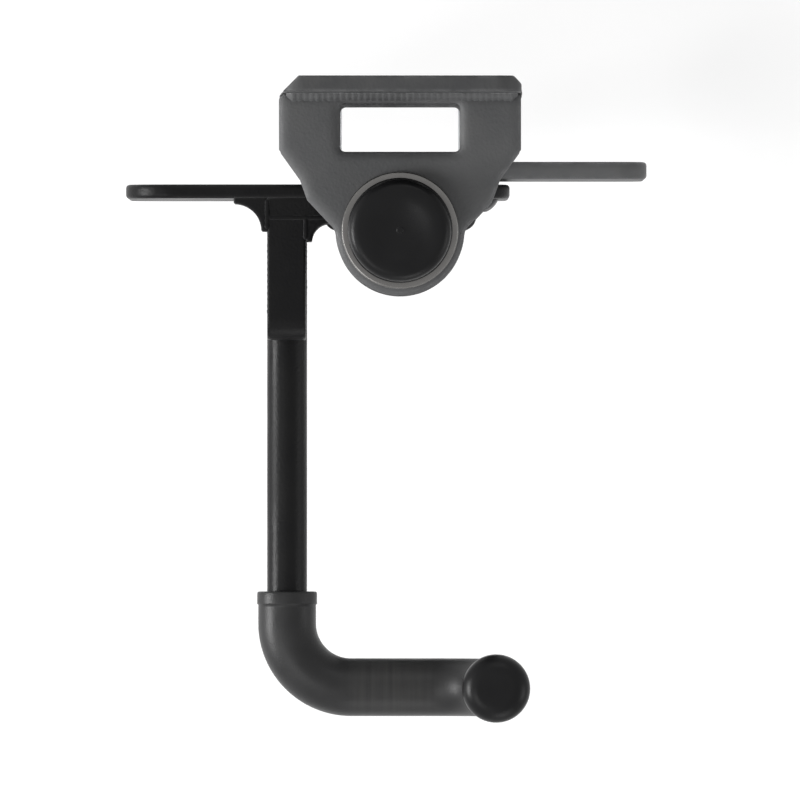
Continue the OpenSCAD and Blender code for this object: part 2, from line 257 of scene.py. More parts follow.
def newMaterial(name):
    material = bpy.data.materials.new(name)
    material.use_nodes = True
    tree = material.node_tree
    return material, tree, tree.nodes["Principled BSDF"]


# Mixes two colours, each a fixed colour or a socket
def colourMix(tree, factor, first, second):
    node = addNode(tree, "ShaderNodeMix", data_type="RGBA")
    tree.links.new(factor, node.inputs[0])
    for index, value in ((6, first), (7, second)):
        if isinstance(value, tuple):
            node.inputs[index].default_value = (*value, 1)
        else:
            tree.links.new(value, node.inputs[index])
    return node.outputs[2]


def setColour(tree, shader, colour):
    tree.links.new(colour, shader.inputs["Base Color"])


noiseSpan = (0.3, 0.7)  # noise values that give a finish's lowest and highest roughness


def setRoughness(tree, shader, value, roughness):
    tree.links.new(rangeNode(tree, value, *noiseSpan, *roughness), shader.inputs["Roughness"])


def bump(tree, shader, height, distance, normal=None):
    node = addNode(tree, "ShaderNodeBump", {"Strength": 1.0, "Distance": distance})
    tree.links.new(height, node.inputs["Height"])
    if normal:
        tree.links.new(normal, node.inputs["Normal"])
    tree.links.new(node.outputs[0], shader.inputs["Normal"])


# Powder coat, fine-textured: the bracket is dark grey with the wall plate darker as painted shade,
# and the moving arm and the rest plate are black; the lighter edges are worn paint and painted highlights
powder = {
    "tonePatch": 18 * mm,
    "edgeMarkBreakup": 3.5 * mm,
    "dustPatch": 9 * mm,
    "dustShare": 0.22,
}
greyCoat = {
    "colour": (0.092, 0.093, 0.095),
    "patchColour": (0.074, 0.075, 0.077),
    # Lighter edge colour: worn paint and painted highlights on the lug's edges
    "wearAndHighlightColour": (0.300, 0.302, 0.306),
    "dustColour": (0.130, 0.128, 0.124),
    "roughness": (0.44, 0.62),
    "specular": 0.30,
    "grainSize": 0.75 * mm,
    "grainDepth": 0.055 * mm,
    "edgeMarkWidth": 1.5 * mm,
    "wearAndHighlightShare": 0.80,
    "softWidth": 4.2 * mm,
}
# A darker copy of the grey coat for the wall plate: painted shade
shadedPlateCoat = {
    **greyCoat,
    "colour": (0.058, 0.0585, 0.060),
    "patchColour": (0.044, 0.0445, 0.046),
    "specular": 0.24,
    "wearAndHighlightShare": 0.45,
    "softWidth": 1.2 * mm,
}
blackCoat = {
    "colour": (0.0062, 0.0062, 0.0066),
    "patchColour": (0.0042, 0.0042, 0.0046),
    # Lighter edge colour: worn paint and painted highlights on the black edges
    "wearAndHighlightColour": (0.085, 0.085, 0.088),
    "dustColour": (0.014, 0.0136, 0.0125),
    "roughness": (0.30, 0.46),
    "specular": 0.11,
    "grainSize": 0.70 * mm,
    "grainDepth": 0.050 * mm,
    "edgeMarkWidth": 0.7 * mm,
    "wearAndHighlightShare": 0.55,
    "softWidth": 1.0 * mm,
}
weldLook = {"edgeMarkWidth": 0.4 * mm, "softWidth": 0.15 * mm}  # keeps the beads' ripples crisp


def powderCoat(name, look):
    material, tree, shader = newMaterial(name)
    grain = useGroup(tree, "grain", size=look["grainSize"], patch=powder["tonePatch"])
    edge = useGroup(tree, "edge", radius=look["edgeMarkWidth"], breakup=powder["edgeMarkBreakup"])
    dust = useGroup(tree, "dust", patch=powder["dustPatch"])
    colour = colourMix(tree, grain.outputs["Tone"], look["patchColour"], look["colour"])
    dusted = mathNode(tree, "MULTIPLY", dust.outputs[0], powder["dustShare"])
    colour = colourMix(tree, dusted, colour, look["dustColour"])
    # Lighter edges: partly worn paint, partly painted highlights that stand in for lit rounded edges
    rubbed = mathNode(tree, "MULTIPLY", edge.outputs[0], look["wearAndHighlightShare"])
    setColour(tree, shader, colourMix(tree, rubbed, colour, look["wearAndHighlightColour"]))
    setRoughness(tree, shader, grain.outputs["Tone"], look["roughness"])
    shader.inputs["Specular IOR Level"].default_value = look["specular"]
    soft = useGroup(tree, "soft", radius=look["softWidth"])
    bump(tree, shader, grain.outputs["Height"], look["grainDepth"], soft.outputs[0])
    return material


# Zinc plate on turned and stamped steel
zinc = {
    "bright": (0.60, 0.61, 0.63),
    "dull": (0.42, 0.43, 0.44),
    "roughness": (0.24, 0.42),
    "spangle": 0.4 * mm,
    "tonePatch": 3.5 * mm,
    "lineSize": 0.25 * mm,
    "lineDepth": 0.012 * mm,
}


def zincPlate(name):
    material, tree, shader = newMaterial(name)
    streaks = useGroup(tree, "streaks", size=zinc["lineSize"])
    grain = useGroup(tree, "grain", size=zinc["spangle"], patch=zinc["tonePatch"])
    setColour(tree, shader, colourMix(tree, grain.outputs["Tone"], zinc["dull"], zinc["bright"]))
    setRoughness(tree, shader, streaks.outputs["Around"], zinc["roughness"])
    shader.inputs["Metallic"].default_value = 1.0
    bump(tree, shader, streaks.outputs["Around"], zinc["lineDepth"])
    return material


# Black oxide on the plate's screws, and oiled steel of the disc springs and the washer under the cap
blackOxide = {"clean": (0.028, 0.028, 0.030), "rubbed": (0.20, 0.20, 0.21), "roughness": (0.30, 0.46)}
oiledSteel = {"clean": (0.150, 0.146, 0.142), "rubbed": (0.40, 0.39, 0.38), "roughness": (0.20, 0.34)}
steelSkin = {
    "lineSize": 0.3 * mm,
    "lineDepth": 0.010 * mm,
    "edgeMarkWidth": 0.4 * mm,
    "edgeMarkBreakup": 1.5 * mm,
}


def darkSteel(name, look):
    material, tree, shader = newMaterial(name)
    streaks = useGroup(tree, "streaks", size=steelSkin["lineSize"])
    edge = useGroup(tree, "edge", radius=steelSkin["edgeMarkWidth"], breakup=steelSkin["edgeMarkBreakup"])
    setColour(tree, shader, colourMix(tree, edge.outputs[0], look["clean"], look["rubbed"]))
    setRoughness(tree, shader, streaks.outputs["Around"], look["roughness"])
    shader.inputs["Metallic"].default_value = 1.0
    bump(tree, shader, streaks.outputs["Around"], steelSkin["lineDepth"])
    return material


# Turned nylon of the bushes and thrust washers, and the nut's blue ring
ivoryNylon = {"light": (0.66, 0.63, 0.54), "deep": (0.56, 0.52, 0.42), "roughness": (0.38, 0.52)}
blueNylon = {"light": (0.05, 0.13, 0.40), "deep": (0.04, 0.10, 0.32), "roughness": (0.36, 0.50)}
nylonSkin = {
    "grainSize": 0.8 * mm,
    "tonePatch": 6 * mm,
    "lineSize": 0.35 * mm,
    "lineDepth": 0.02 * mm,
    "glow": 0.12,          # share of the light that goes in and comes out again
    "glowReach": 1.2 * mm,
}


def turnedNylon(name, look):
    material, tree, shader = newMaterial(name)
    streaks = useGroup(tree, "streaks", size=nylonSkin["lineSize"])
    grain = useGroup(tree, "grain", size=nylonSkin["grainSize"], patch=nylonSkin["tonePatch"])
    setColour(tree, shader, colourMix(tree, grain.outputs["Tone"], look["deep"], look["light"]))
    setRoughness(tree, shader, streaks.outputs["Around"], look["roughness"])
    shader.inputs["Subsurface Weight"].default_value = nylonSkin["glow"]
    shader.inputs["Subsurface Scale"].default_value = nylonSkin["glowReach"]
    bump(tree, shader, streaks.outputs["Around"], nylonSkin["lineDepth"])
    return material


# Spark-eroded black plastic of the caps
capBlack = {
    "colour": (0.0058, 0.0058, 0.0062),
    "patchColour": (0.0040, 0.0040, 0.0044),
    "wearAndHighlightColour": (0.040, 0.040, 0.041),
    "roughness": (0.30, 0.42),
    "specular": 0.14,
    "grainSize": 0.28 * mm,
    "grainDepth": 0.016 * mm,
    "tonePatch": 7 * mm,
    "edgeMarkWidth": 0.5 * mm,
    "edgeMarkBreakup": 2 * mm,
}


def mouldedPlastic(name):
    material, tree, shader = newMaterial(name)
    grain = useGroup(tree, "grain", size=capBlack["grainSize"], patch=capBlack["tonePatch"])
    edge = useGroup(tree, "edge", radius=capBlack["edgeMarkWidth"], breakup=capBlack["edgeMarkBreakup"])
    colour = colourMix(tree, grain.outputs["Tone"], capBlack["patchColour"], capBlack["colour"])
    setColour(tree, shader, colourMix(tree, edge.outputs[0], colour, capBlack["wearAndHighlightColour"]))
    setRoughness(tree, shader, grain.outputs["Tone"], capBlack["roughness"])
    shader.inputs["Specular IOR Level"].default_value = capBlack["specular"]
    bump(tree, shader, grain.outputs["Height"], capBlack["grainDepth"])
    return material


# Rubber: the pad and buffers are matt, the sleeve has a satin skin that is rubbed by use
padRubber = {
    "colour": (0.020, 0.020, 0.0205),
    "bloomColour": (0.032, 0.032, 0.032),
    "rubbedColour": (0.060, 0.058, 0.055),
    "roughness": (0.60, 0.80),
    "specular": 0.30,
    "rubCentre": mounts["tyre_rest"],
    "rubReach": (8 * mm, 30 * mm),  # fully rubbed within the first, not at all beyond the second
    "lineSize": 1.1 * mm,
}
sleeveRubber = {
    "colour": (0.0130, 0.0130, 0.0134),
    "bloomColour": (0.0200, 0.0200, 0.0205),
    "rubbedColour": (0.050, 0.049, 0.047),
    "roughness": (0.36, 0.50),
    "specular": 0.24,
    "rubCentre": mounts["wheel_hook"],
    "rubReach": (5 * mm, 15 * mm),
    "lineSize": 1.3 * mm,
}
rubberSkin = {
    "grainSize": 0.45 * mm,
    "grainDepth": 0.03 * mm,
    "tonePatch": 12 * mm,
    "bloomSpan": (0.42, 0.72),  # noise values where bloom starts and where it is full
    "lineSpan": (0.30, 0.75),   # noise values that give the weakest and the strongest rubbing
    "lineShares": (0.15, 0.85),
    "rubShare": 0.6,
}


def rubber(name, look):
    material, tree, shader = newMaterial(name)
    grain = useGroup(tree, "grain", size=rubberSkin["grainSize"], patch=rubberSkin["tonePatch"])
    streaks = useGroup(tree, "streaks", size=look["lineSize"])
    away = addNode(tree, "ShaderNodeVectorMath", {1: look["rubCentre"]}, operation="DISTANCE")
    tree.links.new(objectCoords(tree), away.inputs[0])
    near, far = look["rubReach"]
    close = rangeNode(tree, away.outputs["Value"], far, near)
    lines = rangeNode(tree, streaks.outputs["Along"], *rubberSkin["lineSpan"], *rubberSkin["lineShares"])
    rubbed = mathNode(tree, "MULTIPLY", close, lines)
    bloom = rangeNode(tree, grain.outputs["Tone"], *rubberSkin["bloomSpan"])
    colour = colourMix(tree, bloom, look["colour"], look["bloomColour"])
    share = mathNode(tree, "MULTIPLY", rubbed, rubberSkin["rubShare"])
    setColour(tree, shader, colourMix(tree, share, colour, look["rubbedColour"]))
    setRoughness(tree, shader, grain.outputs["Tone"], look["roughness"])
    shader.inputs["Specular IOR Level"].default_value = look["specular"]
    bump(tree, shader, grain.outputs["Height"], rubberSkin["grainDepth"])
    return material


finishes = {
    "bracket_paint": powderCoat("greyPowderCoat", greyCoat),
    "black_paint": powderCoat("blackPowderCoat", blackCoat),
    "zinc_steel": zincPlate("zincPlate"),
    "black_steel": darkSteel("blackOxide", blackOxide),
    "dark_steel": darkSteel("oiledSteel", oiledSteel),
    "nylon": turnedNylon("ivoryNylon", ivoryNylon),
    "insert_nylon": turnedNylon("blueNylon", blueNylon),
    "cap_plastic": mouldedPlastic("capPlastic"),
    "pad_rubber": rubber("padRubber", padRubber),
    "sleeve_rubber": rubber("sleeveRubber", sleeveRubber),
}
slotOf = {part["node"]: part["material_slot"] for part in frame["record"]["subparts"]}
for name, obj in nodes.items():
    for slot in obj.material_slots:
        slot.material = finishes[slotOf[name]]
# The wall plate gets the darker copy of the grey coat: painted shade
for slot in nodes["wall_plate"].material_slots:
    slot.material = powderCoat("shadedPlatePowderCoat", shadedPlateCoat)
print("finishes:", len(finishes))


# Edge radii of the steel and nylon pieces, in millimetres
edgeRadii = {
    "wall_plate": 0.35,
    "upper_lug": 1.1,
    "lower_lug": 0.35,
    "rest_plate": 0.9,
    "side_wing": 0.9,
    "wing_washers": 0.2,
    "plate_spacers": 0.4,
    "plate_screws": 0.25,
    "pivot_bolt": 0.4,
    "top_washer": 0.45,
    "bottom_washer": 0.45,
    "lock_nut": 0.3,
    "upper_thrust_washer": 0.3,
    "lower_thrust_washer": 0.3,
    "disc_springs": 0.2,
    "stop_pins": 0.4,
    "swivel_tube": 0.8,
    "stop_finger": 0.6,
    "arm_link": 0.4,
    "arm_bar": 0.38,
    "arm_gussets": 0.3,
}
rounding = {
    "mergeGap": 0.01 * mm,
    "flatDegrees": 0.5,  # faces that bend less than this become one
    "edgeDegrees": 38,   # edges that bend more than this are rounded
    "segments": 3,
    "mostCorners": 4,    # faces with more corners, such as large flats with holes, are split
}


def roundEdges(obj, radius):
    merged = obj.modifiers.new("weld", "WELD")
    merged.merge_threshold = rounding["mergeGap"]
    flats = obj.modifiers.new("flats", "DECIMATE")
    flats.decimate_type = "DISSOLVE"
    flats.angle_limit = math.radians(rounding["flatDegrees"])
    edges = obj.modifiers.new("edges", "BEVEL")
    edges.limit_method = "ANGLE"
    edges.angle_limit = math.radians(rounding["edgeDegrees"])
    edges.width = radius * mm
    edges.segments = rounding["segments"]
    edges.use_clamp_overlap = False
    edges.miter_outer = "MITER_ARC"
    triangles = obj.modifiers.new("triangles", "TRIANGULATE")
    triangles.min_vertices = rounding["mostCorners"] + 1
    obj.modifiers.new("normals", "WEIGHTED_NORMAL").keep_sharp = True


for name, radius in edgeRadii.items():
    roundEdges(nodes[name], radius)
print("edges rounded on", len(edgeRadii), "nodes")


# Makes a piece from points and faces, shades it smoothly and puts it on its body
def addPiece(name, points, faces, body, slot, sharpDegrees, finish=None):
    mesh = bpy.data.meshes.new(name)
    mesh.from_pydata(points, [], faces)
    mesh.validate()
    mesh.update()
    mesh.shade_smooth()
    mesh.set_sharp_from_angle(angle=math.radians(sharpDegrees))
    mesh.materials.append(finish or finishes[slot])
    obj = bpy.data.objects.new(name, mesh)
    bpy.context.scene.collection.objects.link(obj)
    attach(obj, body)
    return obj


def arc(centreR, centreZ, radius, fromDegrees, toDegrees, steps):
    turns = [math.radians(fromDegrees + (toDegrees - fromDegrees) * i / steps) for i in range(steps + 1)]
    return [(centreR + radius * math.cos(a), centreZ + radius * math.sin(a)) for a in turns]


def middleXY(low, high):
    return (low.x + high.x) / 2, (low.y + high.y) / 2


# Turns a closed outline of (radius, height) about an upright axis; points on the axis become poles
def lathe(outline, centre, sides):
    points, rings = [], []
    for r, z in outline:
        if r == 0:
            rings.append([len(points)] * sides)
            points.append((centre[0], centre[1], centre[2] + z))
            continue
        rings.append([len(points) + i for i in range(sides)])
        for i in range(sides):
            a = 2 * math.pi * i / sides
            points.append((centre[0] + r * math.cos(a), centre[1] + r * math.sin(a), centre[2] + z))
    faces = []
    for k in range(len(rings)):
        low, high = rings[k], rings[(k + 1) % len(rings)]
        for i in range(sides):
            j = (i + 1) % sides
            corners = list(dict.fromkeys((low[i], low[j], high[j], high[i])))
            if len(corners) > 2:
                faces.append(corners)
    return points, faces


# Caps on the bolt's head and on the nut: a thin shell with a dished crown and a moulding pip
cap = {
    "wall": 1.2 * mm,
    "edge": 2.5 * mm,        # rounding between flank and crown
    "edgeSteps": 8,
    "lead": 0.35 * mm,       # chamfer round the open end
    "clearance": 0.3 * mm,   # between the hexagon's corners and the bore
    "dishRadius": 7.0 * mm,
    "dishDepth": 0.45 * mm,
    "dishSlope": 0.9 * mm,   # width of the slope down into the dish
    "pipRadius": 0.9 * mm,
    "pipTopShare": 0.8,      # the pip's upper radius as a share of its lower one
    "pipHeight": 0.2 * mm,
    "bandHeight": 1.6 * mm,  # low band round the foot
    "bandStep": 0.3 * mm,
    "sides": 96,
    "sharpDegrees": 30,
}


def capOutline(radius, top, bore, flip):
    flank = radius - cap["bandStep"]
    edge = cap["edge"]
    ceiling = top - cap["wall"]
    dish = top - cap["dishDepth"]
    pip = dish + cap["pipHeight"]
    outline = [(radius - cap["lead"], 0), (radius, cap["lead"]), (radius, cap["bandHeight"])]
    outline += [(flank, cap["bandHeight"] + cap["bandStep"])]
    outline += arc(flank - edge, top - edge, edge, 0, 90, cap["edgeSteps"])
    outline += [(cap["dishRadius"], top), (cap["dishRadius"] - cap["dishSlope"], dish)]
    outline += [(cap["pipRadius"], dish), (cap["pipTopShare"] * cap["pipRadius"], pip)]
    outline += [(0, pip), (0, ceiling), (bore, ceiling), (bore, 0)]
    return [(r, -z) for r, z in reversed(outline)] if flip else outline


def makeCap(name, node, flip):
    low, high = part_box(node)
    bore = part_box("pivot_bolt")[1].x + cap["clearance"]
    outline = capOutline((high.x - low.x) / 2, high.z - low.z, bore, flip)
    centre = (*middleXY(low, high), high.z if flip else low.z)
    points, faces = lathe(outline, centre, cap["sides"])
    piece = addPiece(name, points, faces, "bracket", "cap_plastic", cap["sharpDegrees"])
    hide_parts(node)


makeCap("boltCap", "bolt_cap", False)
makeCap("nutCap", "nut_cap", True)
print("caps made")


# Rubber sleeves on the two stop pins
buffer = {
    "edge": 0.8 * mm,
    "edgeSteps": 6,
    "grooveDepth": 0.35 * mm,
    "grooveHalf": 0.9 * mm,  # half the groove's width
    "sides": 48,
    "sharpDegrees": 30,
}


def makeBuffers():
    low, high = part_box("stop_buffers")
    pinLow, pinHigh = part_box("stop_pins")
    radius = (high.y - low.y) / 2
    pin = (pinHigh.y - pinLow.y) / 2
    height = high.z - low.z
    edge, half, steps = buffer["edge"], buffer["grooveHalf"], buffer["edgeSteps"]
    outline = arc(radius - edge, edge, edge, -90, 0, steps)
    outline += [(radius, height / 2 - half), (radius - buffer["grooveDepth"], height / 2)]
    outline += [(radius, height / 2 + half)]
    outline += arc(radius - edge, height - edge, edge, 0, 90, steps)
    outline += [(pin, height), (pin, 0)]
    points, faces = [], []
    for x in (low.x + radius, high.x - radius):
        more, shapes = lathe(outline, (x, (low.y + high.y) / 2, low.z), buffer["sides"])
        faces += [[i + len(points) for i in face] for face in shapes]
        points += more
    piece = addPiece("stopBuffers", points, faces, "bracket", "pad_rubber", buffer["sharpDegrees"])
    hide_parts("stop_buffers")


makeBuffers()


# Hook: the course of the rod's middle line, and the rubber sleeve that follows it
hook = {
    "bend": 16 * mm,        # bend radius
    "step": 0.8 * mm,       # spacing of the rings
    "sides": 72,
    "lipLength": 3.0 * mm,  # collars at both ends of the sleeve
    "lipStep": 0.35 * mm,   # how far the collars stand out
    "lipEdge": 0.5 * mm,
    "lipEdgeShares": (0.0, 0.15, 0.35, 0.6, 1.0),  # where rings lie on a collar's rounded edge
    "ringGap": 0.05 * mm,   # between the last two rings of a collar
    "ringClear": 0.2 * mm,  # between a collar's rings and the evenly spaced ones
    "seam": 0.09 * mm,      # mould line along both flanks
    "sharpDegrees": 50,
}
rodLow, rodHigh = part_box("hook_rod")
barLow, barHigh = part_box("arm_bar")
sleeveLow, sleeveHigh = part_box("hook_sleeve")
rodX = (barLow.x + barHigh.x) / 2
rodRadius = rodX - rodLow.x
rodZ = rodLow.z + rodRadius
tipX = rodHigh.x - rodRadius
crossY = rodLow.y + rodRadius
sleeveRadius = rodRadius + rodLow.z - sleeveLow.z


def bendPoints(centre, fromAxis, toAxis):
    radius = hook["bend"]
    count = max(2, round(radius * math.pi / 2 / hook["step"]))
    turns = [math.pi / 2 * i / count for i in range(count + 1)]
    return [centre + radius * (math.cos(a) * fromAxis + math.sin(a) * toAxis) for a in turns]


def sleeveCourse():
    bend = hook["bend"]
    corner = Vector((rodX + bend, crossY + bend, rodZ))
    rise = Vector((tipX - bend, crossY, rodZ + bend))
    course = [Vector((rodX, sleeveHigh.y, rodZ))]
    course += bendPoints(corner, Vector((-1, 0, 0)), Vector((0, -1, 0)))
    course += bendPoints(rise, Vector((0, 0, -1)), Vector((1, 0, 0)))
    course += [Vector((tipX, crossY, sleeveHigh.z))]
    return course


def evenSteps(course):
    points = [course[0]]
    for first, last in zip(course, course[1:]):
        count = max(1, round((last - first).length / hook["step"]))
        points += [first.lerp(last, i / count) for i in range(1, count + 1)]
    return points


# Adds close rings near both ends, so that the collars have crisp shapes
def endRings(line):
    lip = hook["lipLength"]
    stops = [hook["lipEdge"] * share for share in hook["lipEdgeShares"]]
    stops += [lip - hook["ringGap"], lip, lip + hook["lipStep"]]
    forward = (line[1] - line[0]).normalized()
    backward = (line[-2] - line[-1]).normalized()
    head = [line[0] + forward * stop for stop in stops]
    tail = [line[-1] + backward * stop for stop in reversed(stops)]
    limit = stops[-1] + hook["ringClear"]
    middle = [p for p in line if (p - line[0]).length > limit and (p - line[-1]).length > limit]
    return head + middle + tail


def lineLength(line):
    return sum((b - a).length for a, b in zip(line, line[1:]))


# Sweeps a round section along a line, with a radius that depends on the distance and the side
def sweepTube(line, radiusAt):
    points, rings, travelled = [], [], 0.0
    sides = hook["sides"]
    across = Vector((1, 0, 0))
    for i, p in enumerate(line):
        ahead = line[min(i + 1, len(line) - 1)] - line[max(i - 1, 0)]
        ahead.normalize()
        across = (across - ahead * across.dot(ahead)).normalized()
        up = ahead.cross(across)
        if i:
            travelled += (p - line[i - 1]).length
        rings.append(len(points))
        for k in range(sides):
            a = 2 * math.pi * k / sides
            points.append(p + radiusAt(travelled, k) * (math.cos(a) * across + math.sin(a) * up))
    faces = []
    for low, high in zip(rings, rings[1:]):
        for k in range(sides):
            j = (k + 1) % sides
            faces.append((low + k, low + j, high + j, high + k))
    return points, faces, rings


def makeSleeve():
    line = endRings(evenSteps(sleeveCourse()))
    total = lineLength(line)
    sides = hook["sides"]
    edge, lip, step = hook["lipEdge"], hook["lipLength"], hook["lipStep"]

    def skinRadius(travelled, k):
        fromEnd = min(travelled, total - travelled)
        radius = sleeveRadius
        if fromEnd < edge:
            gone = edge - fromEnd
            radius -= edge - math.sqrt(max(0.0, edge ** 2 - gone ** 2))
        elif fromEnd > lip:
            radius -= step * min(1.0, (fromEnd - lip) / step)
            if k in (0, sides // 2):
                radius += hook["seam"]
        return radius

    points, faces, rings = sweepTube(line, skinRadius)
    bore, boreFaces = sweepTube(line, lambda travelled, k: rodRadius)[:2]
    shift = len(points)
    points += bore
    faces += [tuple(i + shift for i in reversed(face)) for face in boreFaces]
    first, last = rings[0], rings[-1]
    for k in range(sides):
        j = (k + 1) % sides
        faces.append((first + j, first + k, shift + first + k, shift + first + j))
        faces.append((last + k, last + j, shift + last + j, shift + last + k))
    piece = addPiece("hookSleeve", points, faces, "arm", "sleeve_rubber", hook["sharpDegrees"])
    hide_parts("hook_sleeve")


makeSleeve()


# Mushroom cap pushed on the rod's end
tip = {
    "grip": 8.0 * mm,      # how deep the rod goes in
    "lead": 0.5 * mm,      # rounding of the open end
    "leadSteps": 4,
    "crownSteps": 14,
    "groove": 0.35 * mm,   # depth of the groove, and half its width
    "grooveAt": 2.6 * mm,  # height above the open end
    "sides": 96,
    "sharpDegrees": 30,
}


def makeTipCap():
    low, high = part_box("tip_cap")
    radius = (high.x - low.x) / 2
    height = high.z - low.z
    crown = radius / 2
    lead, groove, grooveAt = tip["lead"], tip["groove"], tip["grooveAt"]
    outline = arc(radius - lead, lead, lead, -90, 0, tip["leadSteps"])
    outline += [(radius, grooveAt - groove), (radius - groove, grooveAt), (radius, grooveAt + groove)]
    outline += arc(radius - crown, height - crown, crown, 0, 90, tip["crownSteps"])
    outline += [(0, height), (0, tip["grip"]), (rodRadius, tip["grip"]), (rodRadius, 0)]
    points, faces = lathe(outline, (*middleXY(low, high), low.z), tip["sides"])
    piece = addPiece("tipCap", points, faces, "arm", "cap_plastic", tip["sharpDegrees"])
    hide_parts("tip_cap")


makeTipCap()
print("hook dressed")


# Ribbed rubber pad on the rest plate
pad = {
    "corner": 4.0 * mm,
    "ribPitch": 8.0 * mm,
    "ribWidth": 5.0 * mm,
    "ribHeight": 1.2 * mm,
    "ribSlope": 0.55 * mm,
    "edge": 0.7 * mm,
    "rows": 320,
    "columns": 44,
    "crowdShare": 0.02,  # how much the rows draw together towards both ends
    "sharpDegrees": 60,
}


def ribHeight(z):
    nearest = round(z / pad["ribPitch"]) * pad["ribPitch"]
    inside = pad["ribWidth"] / 2 - abs(z - nearest)
    share = max(0.0, min(1.0, inside / pad["ribSlope"]))
    return pad["ribHeight"] * math.sin(share * math.pi / 2)


# Height of the pad's face at a distance from its rim, which is rounded
def rolledHeight(distance, full):
    gone = max(0.0, 1.0 - distance / pad["edge"])
    return full - pad["edge"] * (1 - math.sqrt(1 - gone * gone))


def makePad():
    low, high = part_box("rest_pad")
    middleZ = (low.z + high.z) / 2
    halfW, halfH = (high.x - low.x) / 2, (high.z - low.z) / 2
    base = high.y - low.y - pad["ribHeight"]
    rows, columns, corner, crowd = pad["rows"], pad["columns"], pad["corner"], pad["crowdShare"]
    wide = columns + 1  # points in a row
    points, faces = [], []
    for i in range(rows + 1):
        z = halfH * -math.cos(math.pi * i / rows) * crowd + halfH * (2 * i / rows - 1) * (1 - crowd)
        beyond = max(0.0, abs(z) - (halfH - corner))
        half = halfW - corner + math.sqrt(max(0.0, corner ** 2 - beyond ** 2))
        full = base + ribHeight(z)
        for k in range(wide):
            x = -half * math.cos(math.pi * k / columns)
            height = rolledHeight(min(half - abs(x), halfH - abs(z)), full)
            points.append((x, high.y - height, middleZ + z))
    for i in range(rows):
        for k in range(columns):
            a = i * wide + k
            faces.append((a, a + 1, a + wide + 1, a + wide))
    rim = list(range(wide))
    rim += [i * wide + columns for i in range(1, rows + 1)]
    rim += [rows * wide + k for k in range(columns - 1, -1, -1)]
    rim += [i * wide for i in range(rows - 1, 0, -1)]
    start = len(points)
    points += [(points[i][0], high.y, points[i][2]) for i in rim]
    count = len(rim)
    for i in range(count):
        j = (i + 1) % count
        faces.append((rim[i], start + i, start + j, rim[j]))
    faces.append([start + i for i in range(count)])
    piece = addPiece("restPad", points, faces, "bracket", "pad_rubber", pad["sharpDegrees"])
    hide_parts("rest_pad")


makePad()
print("rest pad made")


# Weld beads: rippled fillets along the corners where plates, tube and rod meet
weld = {
    "lugLeg": 2.0 * mm,
    "armLeg": 2.2 * mm,
    "rodLeg": 1.5 * mm,
    "fingerLeg": 1.3 * mm,
    "lugSeamLeg": 1.3 * mm,
    "armSeamLeg": 0.65 * mm,
    "step": 0.3 * mm,
    "pitch": 1.5 * mm,            # length of one ripple
    "ripple": 0.16,               # depth of the ripples as a share of the leg
    "ripplePower": 1.6,           # above 1, a ripple falls off late
    "sway": 0.10,                 # slow change of the leg along a bead, as a share
    "swayLength": 3 * mm,
    "endShare": 0.35,             # the leg at a bead's ends, as a share
    "belly": 0.18,                # how far a bead bulges, as a share of the leg
    "arcPoints": 7,
    "sink": 0.25 * mm,            # how far the root lies inside the corner
    "seamSink": 0.9 * mm,         # the same for beads along flush seams
    "seamLift": 0.04,             # height of a flush seam's toes, as a share of the leg
    "lugInset": 0.8 * mm,         # how far the beads stop short of a lug's edges
    "armInset": 0.5 * mm,         # the same on the arm
    "sameGap": 0.01 * mm,         # points nearer than this to a plane lie in it
    "cutGap": 0.1 * mm,           # a lug that stands in further than this has a cut corner
    "gussetThickness": 5 * mm,
    "barCorner": 5 * mm,          # radius of the bar's lower front corner
    "rootPast": 3 * mm,           # how far the outer seam runs on past the link's front
    "rodSideShare": 0.5,          # how wide the rod's beads lie on the bar, as a share of the leg
    "fingerShare": 0.92,          # how much of the finger's width its bead takes
    "fingerSteps": 30,
    "sharpDegrees": 70,
}
weldSeeds = {"lugSeam": 5, "tube": 10, "bar": 20, "rod": 30, "finger": 40, "armSeam": 50}


# Section of a bead; firstWall and secondWall point away from the corner along the two surfaces
def beadSection(leg, firstWall, secondWall, sink):
    outward = (firstWall + secondWall).normalized()
    offsets = [-outward * sink]
    count = weld["arcPoints"]
    for i in range(count):
        t = i / (count - 1)
        flat = firstWall * (1 - t) + secondWall * t
        offsets.append(leg * (flat + outward * weld["belly"] * math.sin(math.pi * t)))
    return offsets


# One bead along a line; wallsAt gives the two walls at each point of the line
def makeBead(line, wallsAt, leg, seed, sink=weld["sink"]):
    points, faces = [], []
    travelled = 0.0
    total = lineLength(line)
    size = weld["arcPoints"] + 1
    for i, p in enumerate(line):
        if i:
            travelled += (p - line[i - 1]).length
        phase = (travelled / weld["pitch"]) % 1.0
        ripple = 1.0 - weld["ripple"] * phase ** weld["ripplePower"]
        sway = 1.0 + weld["sway"] * noise.noise(Vector((travelled / weld["swayLength"], seed, 0)))
        ends = min(1.0, weld["endShare"] + min(travelled, total - travelled) / leg)
        for offset in beadSection(leg * ripple * sway * ends, *wallsAt(i), sink):
            points.append(p + offset)
        if i:
            low, high = (i - 1) * size, i * size
            for k in range(size):
                j = (k + 1) % size
                faces.append((low + k, low + j, high + j, high + k))
    faces.append(tuple(reversed(range(size))))
    faces.append(tuple(range(len(points) - size, len(points))))
    return points, faces


def straightLine(first, last):
    first, last = Vector(first), Vector(last)
    count = max(2, round((last - first).length / weld["step"]))
    return [first.lerp(last, i / count) for i in range(count + 1)]


# A bead in a straight corner, with the same two walls all along
def cornerBead(first, last, firstWall, secondWall, leg, seed):
    return makeBead(straightLine(first, last), lambda i: (firstWall, secondWall), leg, seed)


